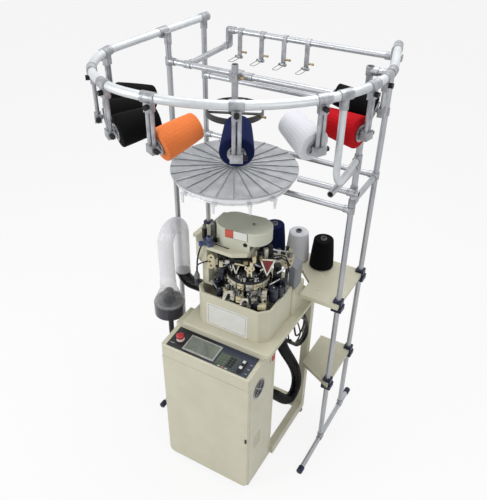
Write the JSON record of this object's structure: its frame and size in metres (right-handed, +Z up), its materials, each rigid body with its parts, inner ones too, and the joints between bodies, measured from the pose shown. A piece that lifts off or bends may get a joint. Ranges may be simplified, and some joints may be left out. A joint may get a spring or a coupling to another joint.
{
  "type": "circular knitting machine",
  "caption": "Single-cylinder knitting machine for small tubular knitwear, on a cabinet base inside a tubular yarn stand with cones on a ring rail and an overhead guide disc.",
  "frame": {"origin": "on the floor, below the middle of the bounding box", "axes": "+Z up, -Y towards the operator and the control panel, +X to the operator's right"},
  "size_m": [1.1396, 1.1438, 2.2205],
  "materials": {
    "cream_paint": "satin",
    "grey_green_paint": "satin",
    "blue_grey_paint": "satin",
    "black_paint": "satin",
    "bright_tube": "satin",
    "cast_fitting": "satin",
    "navy_plastic": "matt",
    "black_plastic": "matt",
    "navy_panel": "semi-gloss",
    "bezel_grey": "matt",
    "display_grey": "gloss",
    "disc_steel": "brushed",
    "rod_steel": "brushed",
    "skirt_steel": "polished",
    "wire_steel": "polished",
    "brass": "satin",
    "black_yarn": "matt",
    "orange_yarn": "matt",
    "navy_yarn": "matt",
    "white_yarn": "matt",
    "red_yarn": "matt",
    "core_card": "matt",
    "head_steel": "machined",
    "cam_steel": "machined",
    "block_aluminium": "machined",
    "smoky_jar": "gloss",
    "clear_duct": "gloss",
    "hose_rubber": "matt",
    "stop_red": "gloss",
    "switch_red": "gloss",
    "key_white": "satin"
  },
  "bodies": {
    "machine": {"stand_uprights": "bright_tube", "stand_bars": "bright_tube", "stand_brace": "bright_tube", "foot_tubes": "bright_tube", "foot_caps": "black_plastic", "tube_fittings": "cast_fitting", "ring_rail": "bright_tube", "cone_drops": "cast_fitting", "drop_knobs": "black_plastic", "cone_holders": "cast_fitting", "black_cones": "black_yarn", "orange_cone": "orange_yarn", "navy_cones": "navy_yarn", "white_cones": "white_yarn", "red_cone": "red_yarn", "cone_cores": "core_card", "shelf_plates": "cream_paint", "shelf_clamps": "navy_plastic", "guide_disc": "disc_steel", "disc_rods": "rod_steel", "disc_skirt": "skirt_steel", "yarn_spouts": "clear_duct", "guide_rings": "black_paint", "stop_bodies": "cast_fitting", "brass_screws": "brass", "cabinet_body": "cream_paint", "door_hinges": "black_paint", "control_panel": "navy_panel", "display_bezel": "bezel_grey", "display_glass": "display_grey", "estop_collar": "black_plastic", "fan_guard": "wire_steel", "base_frame": "cream_paint", "levelling_feet": "head_steel", "table_plate": "cream_paint", "head_pot": "cream_paint", "head_casting": "cream_paint", "arm_cover": "grey_green_paint", "drive_cover": "blue_grey_paint", "cam_ring": "cam_steel", "cam_blocks": "block_aluminium", "yarn_fingers": "head_steel", "collector_jar": "smoky_jar", "air_duct": "clear_duct", "collector_fittings": "black_plastic", "suction_hose": "hose_rubber", "wiring_loom": "hose_rubber"},
    "door": {"cabinet_door": "cream_paint"},
    "latch": {"door_latch": "black_plastic"},
    "stop_push": {"estop_button": "stop_red"},
    "key_upper": {"panel_key_2": "key_white"},
    "key_lower": {"panel_key_1": "key_white"},
    "rocker": {"rocker_switch": "switch_red"},
    "fan": {"fan_rotor": "black_plastic"},
    "cylinder": {"needle_cylinder": "head_steel"},
    "dial_plate": {"dial": "head_steel"},
    "stop_1": {"stop_arm_1": "wire_steel"},
    "stop_2": {"stop_arm_2": "wire_steel"},
    "stop_3": {"stop_arm_3": "wire_steel"},
    "stop_4": {"stop_arm_4": "wire_steel"}
  },
  "joints": [
    {"name": "door_swing", "type": "hinge", "parent": "machine", "child": "door", "pos_m": [-0.25607, -0.38243, 0.14], "axis": [0, 0, -1], "range_deg": [0, 110]},
    {"name": "latch_turn", "type": "hinge", "parent": "door", "child": "latch", "pos_m": [0.24372, -0.40143, 0.42], "axis": [0, -1, 0], "range_deg": [0, 90]},
    {"name": "stop_button_press", "type": "slide", "parent": "machine", "child": "stop_push", "axis": [0, 0.1128, -0.9936], "range_m": [0, 0.004], "stiffness_N_per_m": 600, "springref_m": -0.004},
    {"name": "upper_key_press", "type": "slide", "parent": "machine", "child": "key_upper", "axis": [0, 0.1128, -0.9936], "range_m": [0, 0.001], "stiffness_N_per_m": 300, "springref_m": -0.002},
    {"name": "lower_key_press", "type": "slide", "parent": "machine", "child": "key_lower", "axis": [0, 0.1128, -0.9936], "range_m": [0, 0.001], "stiffness_N_per_m": 300, "springref_m": -0.002},
    {"name": "rocker_tilt", "type": "hinge", "parent": "machine", "child": "rocker", "pos_m": [0.25572, -0.16243, 0.826], "axis": [0, 1, 0], "range_deg": [-12, 12]},
    {"name": "fan_spin", "type": "hinge", "parent": "machine", "child": "fan", "pos_m": [0.21973, -0.29843, 0.722], "axis": [1, 0, 0], "continuous": true},
    {"name": "cylinder_spin", "type": "hinge", "parent": "machine", "child": "cylinder", "pos_m": [0.05772, -0.07143, 1.02], "axis": [0, 0, 1], "continuous": true},
    {"name": "dial_spin", "type": "hinge", "parent": "machine", "child": "dial_plate", "pos_m": [0.05772, -0.07143, 1.322], "axis": [0, 0, 1], "continuous": true},
    {"name": "stop_arm_1_swing", "type": "hinge", "parent": "machine", "child": "stop_1", "pos_m": [-0.31827, 0.47257, 2.03], "axis": [1, 0, 0], "range_deg": [-30, 30]},
    {"name": "stop_arm_2_swing", "type": "hinge", "parent": "machine", "child": "stop_2", "pos_m": [-0.20028, 0.47257, 2.03], "axis": [1, 0, 0], "range_deg": [-30, 30]},
    {"name": "stop_arm_3_swing", "type": "hinge", "parent": "machine", "child": "stop_3", "pos_m": [-0.08228, 0.47257, 2.03], "axis": [1, 0, 0], "range_deg": [-30, 30]},
    {"name": "stop_arm_4_swing", "type": "hinge", "parent": "machine", "child": "stop_4", "pos_m": [0.03572, 0.47257, 2.03], "axis": [1, 0, 0], "range_deg": [-30, 30]}
  ],
  "couplings": [
    {"joint": "dial_spin", "follows": "cylinder_spin", "ratio": 1}
  ]
}
